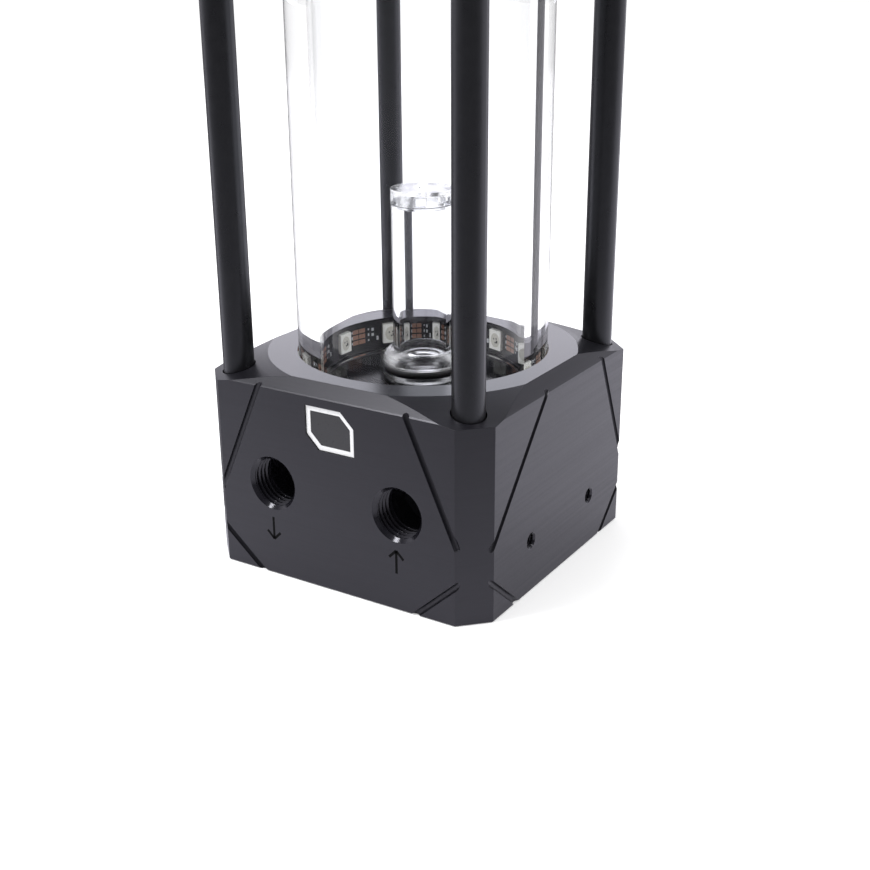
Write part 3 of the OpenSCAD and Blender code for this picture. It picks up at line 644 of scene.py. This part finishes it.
def windowTree():
    # the round window of each lamp is a short disc whose axis points at the tank's axis
    tree, given = newTree("windowTree", ringInputs + [
        ("Window Radius", "NodeSocketFloat"), ("Thickness", "NodeSocketFloat")])
    disc = addNode(tree, "GeometryNodeMeshCylinder")
    feed(tree, disc.inputs["Vertices"], 32)
    feed(tree, disc.inputs["Radius"], given["Window Radius"])
    feed(tree, disc.inputs["Depth"], given["Thickness"])
    upright = addNode(tree, "GeometryNodeTransform")
    feed(tree, upright.inputs["Geometry"], disc.outputs["Mesh"])
    feed(tree, upright.inputs["Rotation"], (0, math.radians(90), 0))
    plantRing(tree, given, upright.outputs[0])
    return tree


def dressLightStrip():
    plan = lightStrip
    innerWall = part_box("led_strip")[1].x - plan["thickness"]
    lampFace = innerWall - plan["lampThickness"]
    lampLow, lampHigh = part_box("led_packages")
    middle = (lampLow.z + lampHigh.z) / 2

    def growRing(name, tree, pastLamp, radius, height, sizes, finish, smoothBelow=None):
        piece = growPiece(name, tree, {
            "Count": plan["count"], "First Angle": math.radians(plan["first"] - pastLamp),
            "Step Angle": math.radians(plan["step"]), "Radius": radius, "Height": height,
            "Material": finish} | sizes, smoothBelow)
        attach(piece, "reservoir")

    boxes = boxTree()
    for name, angles, lift, width, height, thickness, finish, slotName in plan["parts"]:
        size = (thickness * mm, width * mm, height * mm)
        for side, angle in enumerate(angles):
            growRing(f"{name}.{side}", boxes, angle, innerWall - thickness * mm / 2,
                     middle + lift * mm, {"Size": size}, finish)
    growRing("lampWindows", windowTree(), 0.0, lampFace, middle,
             {"Window Radius": plan["windowRadius"], "Thickness": plan["windowThickness"]},
             windowPale, smoothBelow=40)
    for name, sideways, lift, edge in plan["dies"]:
        growRing(name, boxes, math.degrees(sideways * mm / lampFace), lampFace - plan["dieLift"],
                 middle + lift * mm, {"Size": (plan["dieThickness"], edge * mm, edge * mm)},
                 partDark)
    print("light strip dressed")


dressLightStrip()


# badge plate and flow marks on the front

def prism(outline, backDepth, thickness):
    # a closed slab from an outline of (x, z) corners; backDepth is how far its back lies
    # inside the front face
    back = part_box("base_block")[0].y + backDepth
    face = back - thickness
    count = len(outline)
    points = [(x, face, z) for x, z in outline] + [(x, back, z) for x, z in outline]
    faces = [tuple(range(count)), tuple(range(2 * count - 1, count - 1, -1))]
    faces += [(i, i + count, (i + 1) % count + count, (i + 1) % count) for i in range(count)]
    return points, faces


def joinSolids(name, solids, finish, leftOut=()):
    # one mesh of several prisms; leftOut numbers the faces that each of them lacks
    points, faces = [], []
    for solidPoints, solidFaces in solids:
        faces += [tuple(corner + len(points) for corner in face)
                  for number, face in enumerate(solidFaces) if number not in leftOut]
        points += solidPoints
    mesh = bpy.data.meshes.new(name)
    mesh.from_pydata(points, [], faces)
    mesh.materials.append(finish)
    return mesh


def weld(mesh):
    work = bmesh.new()
    work.from_mesh(mesh)
    bmesh.ops.remove_doubles(work, verts=work.verts, dist=0.001 * mm)
    bmesh.ops.recalc_face_normals(work, faces=work.faces)
    work.to_mesh(mesh)
    work.free()


enamelWhite = speckled("enamelWhite", (0.70, 0.70, 0.71), (0.78, 0.78, 0.79), 0.3, size=900.0, depth=0.003)
badgeField = speckled("badgeField", (0.020, 0.020, 0.021), (0.028, 0.028, 0.03), 0.32, size=2400.0)
markDark = speckled("markDark", (0.003, 0.003, 0.003), (0.006, 0.006, 0.006), 0.7)
markDark.node_tree.nodes["Principled BSDF"].inputs["Specular IOR Level"].default_value = 0.06

badge = {
    "centre": (-0.35 * mm, 39.6 * mm),
    "halfWide": 6.5 * mm,
    "halfHigh": 5.05 * mm,
    "cut": 3.4 * mm,
    "rim": 1.1 * mm,
    "sunk": 0.4 * mm,            # how far the rim's face lies inside the front face
    "rimStands": 0.12 * mm,      # and how far it stands over the plate
    "pocket": 0.99 * mm,
    "edge": 0.06 * mm,
}


def badgeOutline(inset, cut):
    # a rectangle with its lower left and upper right corners cut off
    x, z = badge["centre"]
    wide, high = badge["halfWide"] - inset, badge["halfHigh"] - inset
    return [(x - wide, z - high + cut), (x - wide + cut, z - high), (x + wide, z - high),
            (x + wide, z + high - cut), (x + wide - cut, z + high), (x - wide, z + high)]


def makeBadge():
    # a blank plate with a white enamelled rim, lying in the pocket of the front face
    outer = badgeOutline(0.0, badge["cut"])
    inner = badgeOutline(badge["rim"], badge["cut"] - badge["rim"] * (2 - math.sqrt(2)))
    plateTop = badge["sunk"] + badge["rimStands"]
    mesh = joinSolids("badgePlate", [prism(outer, badge["pocket"], badge["pocket"] - plateTop)], badgeField)
    plate = finishPiece("badgePlate", mesh)
    rounding = plate.modifiers.new("edge", "BEVEL")
    rounding.width = badge["edge"]
    rounding.segments = 2
    rounding.limit_method = "ANGLE"
    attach(plate, "reservoir")
    # the rim's bars meet end to end, so their end faces are left out and it is one closed frame
    corners = list(zip(outer, inner))
    bars = [prism([outerOne, outerTwo, innerTwo, innerOne], plateTop, badge["rimStands"])
            for (outerOne, innerOne), (outerTwo, innerTwo) in zip(corners, corners[1:] + corners[:1])]
    mesh = joinSolids("badgeRim", bars, enamelWhite, leftOut=(3, 5))
    weld(mesh)
    rim = finishPiece("badgeRim", mesh)
    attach(rim, "reservoir")
    print("badge laid in")


makeBadge()

flowMarks = {
    "stroke": 0.62 * mm,
    "height": 5.6 * mm,
    "head": 1.9 * mm,
    "proud": 0.015 * mm,
    # name, middle, and whether the arrow points up or down
    "arrows": [("flowMarkOut", (-17.6 * mm, 12.0 * mm), -1), ("flowMarkIn", (17.0 * mm, 12.0 * mm), 1)],
}


def stroke(start, end, width):
    run = Vector(end) - Vector(start)
    side = Vector((-run.y, run.x)).normalized() * width / 2
    return [tuple(corner) for corner in (Vector(start) - side, Vector(end) - side,
                                         Vector(end) + side, Vector(start) + side)]


def makeFlowMarks():
    # an arrow away from the outlet and one towards the inlet, filled dark
    width, head = flowMarks["stroke"], flowMarks["head"]
    for name, (x, z), way in flowMarks["arrows"]:
        tip, tail = z + way * flowMarks["height"] / 2, z - way * flowMarks["height"] / 2
        strokes = [stroke((x, tail), (x, tip), width),
                   stroke((x - head, tip - way * head), (x, tip), width),
                   stroke((x + head, tip - way * head), (x, tip), width)]
        mesh = joinSolids(name, [prism(line, 0.0, flowMarks["proud"]) for line in strokes], markDark)
        mark = finishPiece(name, mesh)
        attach(mark, "reservoir")
    print("flow marks cut")


makeFlowMarks()


# floor, light and camera

studio = {
    "floorSize": 6.0,
    "floorGap": 0.02 * mm,
    "floorPaint": 0.84,
    "floorGlow": 0.27,
    "ambient": 1.0,
    # what metal and gloss mirror: the table carries painted shade, seen only in reflections, darker towards
    # the viewer and in a painted shadow on the left as of a card; the room is white low down, dimmer above
    # and dark behind the viewer
    "mirrorTint": (0.92, 0.905, 1.0),
    "tableWay": (0.35, 0.94),
    "paintedTableShade": (-0.02, 0.20, 1.0, 0.26),
    "paintedShadowAcross": (-0.042, -0.060),
    "paintedShadowAlong": (-0.050, -0.030),
    "cardShade": 0.2,
    "ceilingFade": (0.42, 0.62, 1.0, 0.36),
    "roomWay": (0.53, 0.85),
    "roomFade": (0.1, 0.7, 1.0, 0.12),
    "aim": (0, 0, 0.04),
    "key": {"from": (-0.34, -0.38, 0.86), "away": 0.9, "size": (0.26, 0.42), "watts": 6.0,
            "colour": (0.96, 0.96, 1.0)},
    "back": {"from": (-0.50, 0.79, 0.36), "away": 1.2, "size": (0.7, 0.7), "watts": 1.7,
             "colour": (0.92, 0.91, 1.0)},
    "side": {"from": (0.70, 0.12, 0.66), "away": 0.7, "size": (0.22, 0.22), "watts": 1.2,
             "colour": (0.98, 0.97, 1.0)},
}


def towardsViewer(tree, place, way):
    # how far a place or a heading lies along a level way between +X and -Y
    across, along = way
    return maths(tree, "SUBTRACT", maths(tree, "MULTIPLY", place["X"], across),
                 maths(tree, "MULTIPLY", place["Y"], along))


def layFloor():
    half = studio["floorSize"] / 2
    mesh = bpy.data.meshes.new("studioFloor")
    corners = [(-half, -half, 0), (half, -half, 0), (half, half, 0), (-half, half, 0)]
    mesh.from_pydata(corners, [], [(0, 1, 2, 3)])
    floor = bpy.data.objects.new("studioFloor", mesh)
    bpy.context.scene.collection.objects.link(floor)
    floor.location.z = cadLow.z - studio["floorGap"]
    finish = bpy.data.materials.new("studioFloor")
    finish.use_nodes = True
    tree = finish.node_tree
    tree.nodes.remove(tree.nodes["Principled BSDF"])
    path = addNode(tree, "ShaderNodeLightPath").outputs
    place = splitUp(tree, coordinates(tree))
    # painted shade, seen only in reflections: the table darker towards the viewer and in a painted shadow
    # on the left
    paintedFalloff = spread(tree, towardsViewer(tree, place, studio["tableWay"]), *studio["paintedTableShade"])
    paintedShadow = maths(tree, "MULTIPLY", spread(tree, place["X"], *studio["paintedShadowAcross"], 0.0, 1.0),
                 spread(tree, place["Y"], *studio["paintedShadowAlong"], 0.0, 1.0))
    mirrored = maths(tree, "MULTIPLY", paintedFalloff, spread(tree, paintedShadow, 0.0, 1.0, 1.0, studio["cardShade"]))
    bounced = reflectedOnly(tree, path)
    seen = addNode(tree, "ShaderNodeMix", data_type="FLOAT")
    feed(tree, seen.inputs["Factor"], bounced)
    feed(tree, seen.inputs["A"], 1.0)
    feed(tree, seen.inputs["B"], mirrored)
    share = seen.outputs["Result"]
    tones = [maths(tree, "MULTIPLY", share, spread(tree, bounced, 0.0, 1.0, 1.0, tint))
             for tint in studio["mirrorTint"]]
    paper = addNode(tree, "ShaderNodeBsdfDiffuse")
    feed(tree, paper.inputs["Color"], joinUp(
        tree, *(maths(tree, "MULTIPLY", tone, studio["floorPaint"]) for tone in tones)))
    glow = addNode(tree, "ShaderNodeEmission")
    feed(tree, glow.inputs["Color"], joinUp(tree, *tones))
    looked = maths(tree, "MAXIMUM", path["Is Camera Ray"],
                   maths(tree, "MAXIMUM", path["Is Transmission Ray"], path["Is Glossy Ray"]))
    feed(tree, glow.inputs["Strength"], maths(tree, "MULTIPLY", looked, studio["floorGlow"]))
    both = addNode(tree, "ShaderNodeAddShader")
    feed(tree, both.inputs[0], paper.outputs[0])
    feed(tree, both.inputs[1], glow.outputs[0])
    feed(tree, tree.nodes["Material Output"].inputs["Surface"], both.outputs[0])
    mesh.materials.append(finish)


def lightWorld():
    world = bpy.data.worlds.new("studioWorld")
    bpy.context.scene.world = world
    world.use_nodes = True
    tree = world.node_tree
    background = tree.nodes["Background"]
    path = addNode(tree, "ShaderNodeLightPath").outputs
    heading = splitUp(tree, coordinates(tree, "Generated"))
    ceiling = spread(tree, heading["Z"], *studio["ceilingFade"])
    room = spread(tree, towardsViewer(tree, heading, studio["roomWay"]), *studio["roomFade"])
    mirrored = maths(tree, "MULTIPLY", maths(tree, "MULTIPLY", ceiling, room), path["Is Glossy Ray"])
    bent = maths(tree, "MAXIMUM", path["Is Glossy Ray"], path["Is Transmission Ray"])
    plain = maths(tree, "MULTIPLY", maths(tree, "SUBTRACT", 1.0, bent), studio["ambient"])
    # white for the camera, and through glass too
    direct = maths(tree, "MAXIMUM", path["Is Camera Ray"], path["Is Transmission Ray"])
    feed(tree, background.inputs["Strength"],
         maths(tree, "MAXIMUM", direct, maths(tree, "ADD", mirrored, plain)))
    feed(tree, background.inputs["Color"],
         blendColours(tree, reflectedOnly(tree, path), (1, 1, 1), studio["mirrorTint"]))


def hangLamp(name, plan):
    lamp = bpy.data.lights.new(name, "AREA")
    lamp.shape = "RECTANGLE"
    lamp.size, lamp.size_y = plan["size"]
    lamp.energy = plan["watts"]
    lamp.color = plan["colour"]
    holder = bpy.data.objects.new(name, lamp)
    bpy.context.scene.collection.objects.link(holder)
    way = Vector(plan["from"]).normalized()
    holder.location = Vector(studio["aim"]) + way * plan["away"]
    holder.rotation_mode = "QUATERNION"
    holder.rotation_quaternion = way.to_track_quat("Z", "Y")
    holder.visible_camera = False


viewpoint = {"place": (161.163 * mm, -251.076 * mm, 140.626 * mm),
             "yaw": -32.173, "pitch": 20.967, "roll": -0.362,      # degrees
             "lens": 53.245, "sensor": 36.0, "clip": (0.01, 50.0)}


def placeCamera():
    yaw, pitch, roll = (math.radians(viewpoint[angle]) for angle in ("yaw", "pitch", "roll"))
    forward = Vector((math.sin(yaw) * math.cos(pitch), math.cos(yaw) * math.cos(pitch), -math.sin(pitch)))
    level = forward.cross(Vector((0, 0, 1))).normalized()
    upright = level.cross(forward)
    right = math.cos(roll) * level + math.sin(roll) * upright
    up = -math.sin(roll) * level + math.cos(roll) * upright
    camera = bpy.data.objects.new("viewCamera", bpy.data.cameras.new("viewCamera"))
    bpy.context.scene.collection.objects.link(camera)
    turned = Matrix((right, up, -forward)).transposed().to_4x4()
    camera.matrix_world = Matrix.Translation(viewpoint["place"]) @ turned
    camera.data.lens = viewpoint["lens"]
    camera.data.sensor_width = viewpoint["sensor"]
    camera.data.clip_start, camera.data.clip_end = viewpoint["clip"]
    bpy.context.scene.camera = camera


layFloor()
lightWorld()
for lampPlace in ("key", "back", "side"):
    hangLamp(lampPlace + "Lamp", studio[lampPlace])
placeCamera()
bpy.context.scene.view_settings.view_transform = "Standard"
bpy.context.scene.cycles.min_transparent_bounces = 8     # so that the tube adds no grain to the rods
print("studio set")
